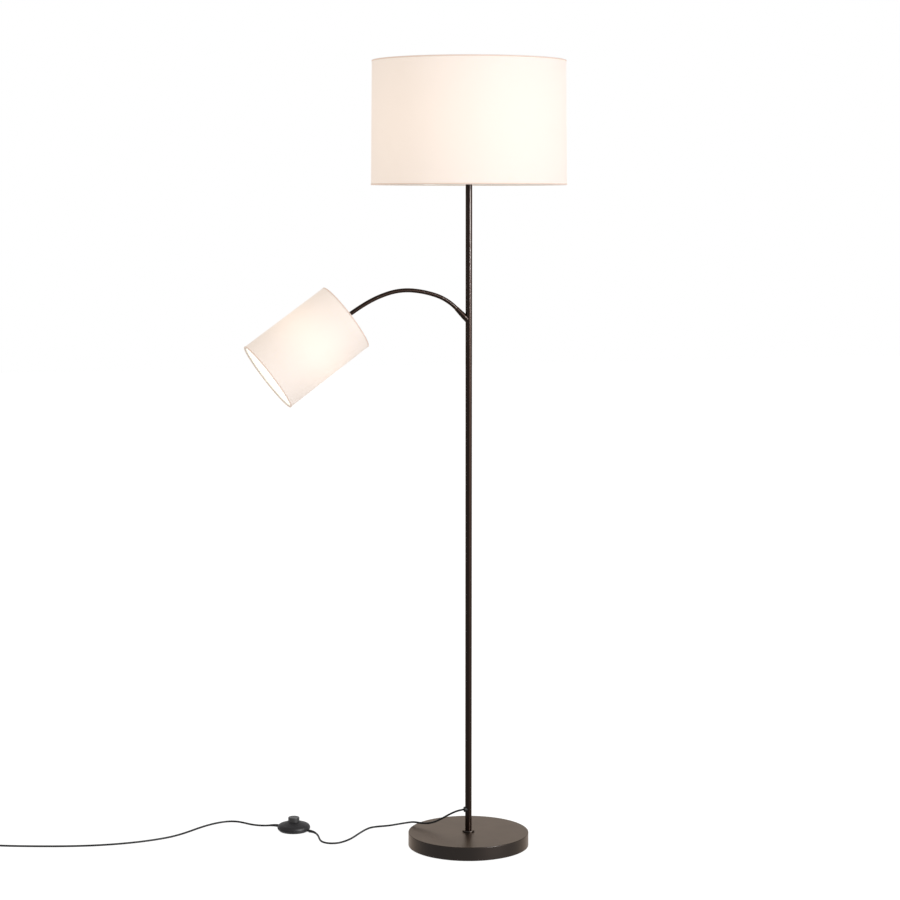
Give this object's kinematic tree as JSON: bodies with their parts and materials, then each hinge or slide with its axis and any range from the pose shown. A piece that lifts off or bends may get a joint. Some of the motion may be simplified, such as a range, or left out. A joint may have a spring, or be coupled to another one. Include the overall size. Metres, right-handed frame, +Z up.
{
  "type": "floor lamp",
  "caption": "Floor lamp with a round base, slim pole and fabric drum shade, a small drum shade on a flexible reading arm, and a foot switch on the mains lead.",
  "frame": {"origin": "middle of the base pad's underside, on the floor", "axes": "+Z up along the pole; the reading arm leaves the pole towards -X; +Y to the side on which the mains lead lies"},
  "size_m": [1.2137, 0.579, 1.6169],
  "materials": {
    "black_lacquer": "glossy black powder coat over steel",
    "cast_iron": "raw casting",
    "soft_pad": "dense black foam rubber",
    "black_rubber": "smooth moulded rubber",
    "zinc_steel": "bright zinc plating",
    "white_wire": "satin white coat on steel wire",
    "linen": "woven linen on a stiff translucent backing",
    "white_plastic": "moulded heat-proof plastic",
    "bulb_cap": "rolled thread",
    "bulb_glass": "frosted glass",
    "black_plastic": "moulded with a soft shine",
    "grey_plastic": "fine moulded texture",
    "cord_sheath": "smooth flexible sheath",
    "thin_lead": "smooth flexible sheath",
    "nickel": "nickel-plated brass"
  },
  "bodies": {
    "stand": {"base_cover": "black_lacquer", "pole_collar": "black_lacquer", "pole_lower": "black_lacquer", "pole_middle": "black_lacquer", "pole_upper": "black_lacquer", "arm_ferrule": "black_lacquer", "base_weight": "cast_iron", "base_pad": "soft_pad", "cord_grommet": "black_rubber", "base_nut": "zinc_steel", "threaded_tubes": "zinc_steel", "main_spider": "white_wire", "main_top_ring": "white_wire", "main_fabric": "linen", "main_holder_cap": "white_plastic", "main_holder_barrel": "white_plastic", "main_bulb_cap": "bulb_cap", "main_bulb_glass": "bulb_glass", "switch_base": "black_plastic", "switch_cover": "black_plastic", "switch_unit": "grey_plastic", "cord_lamp": "cord_sheath", "cord_mains": "cord_sheath", "cord_coil": "cord_sheath", "plug_relief": "cord_sheath", "pole_lead": "cord_sheath", "switch_leads": "cord_sheath", "arm_lead": "thin_lead", "coil_tie": "grey_plastic", "plug_body": "black_plastic", "plug_pins": "nickel"},
    "neck_1": {"neck_link_1": "black_lacquer", "neck_lead_1": "thin_lead"},
    "neck_2": {"neck_link_2": "black_lacquer", "neck_lead_2": "thin_lead"},
    "neck_3": {"neck_link_3": "black_lacquer", "neck_lead_3": "thin_lead"},
    "neck_4": {"neck_link_4": "black_lacquer", "neck_lead_4": "thin_lead"},
    "reading_head": {"neck_link_5": "black_lacquer", "neck_lead_5": "thin_lead", "neck_end_sleeve": "black_lacquer", "reading_holder_cap": "white_plastic", "reading_holder_barrel": "white_plastic", "reading_bulb_cap": "bulb_cap", "reading_bulb_glass": "bulb_glass", "reading_spider": "white_wire", "reading_front_ring": "white_wire", "reading_fabric": "linen"},
    "foot_button": {"switch_button": "grey_plastic"}
  },
  "joints": [
    {"name": "neck_bend_1", "type": "hinge", "parent": "stand", "child": "neck_1", "pos_m": [-0.0268, 0, 1.119], "axis": [0, 1, 0], "range_deg": [-22, 20]},
    {"name": "neck_swing_1", "type": "hinge", "parent": "neck_1", "child": "neck_2", "pos_m": [-0.06913, 0, 1.14535], "axis": [0.3223, 0, 0.9466], "range_deg": [-30, 30]},
    {"name": "neck_bend_2", "type": "hinge", "parent": "neck_2", "child": "neck_3", "pos_m": [-0.11823, 0, 1.1557], "axis": [0, 1, 0], "range_deg": [-22, 20]},
    {"name": "neck_swing_2", "type": "hinge", "parent": "neck_3", "child": "neck_4", "pos_m": [-0.16798, 0, 1.15064], "axis": [-0.2857, 0, 0.9583], "range_deg": [-30, 30]},
    {"name": "neck_bend_3", "type": "hinge", "parent": "neck_4", "child": "reading_head", "pos_m": [-0.21415, 0, 1.13095], "axis": [0, 1, 0], "range_deg": [-22, 20]},
    {"name": "switch_press", "type": "slide", "parent": "stand", "child": "foot_button", "axis": [0, 0, -1], "range_m": [0, 0.003], "stiffness_N_per_m": 2000}
  ]
}
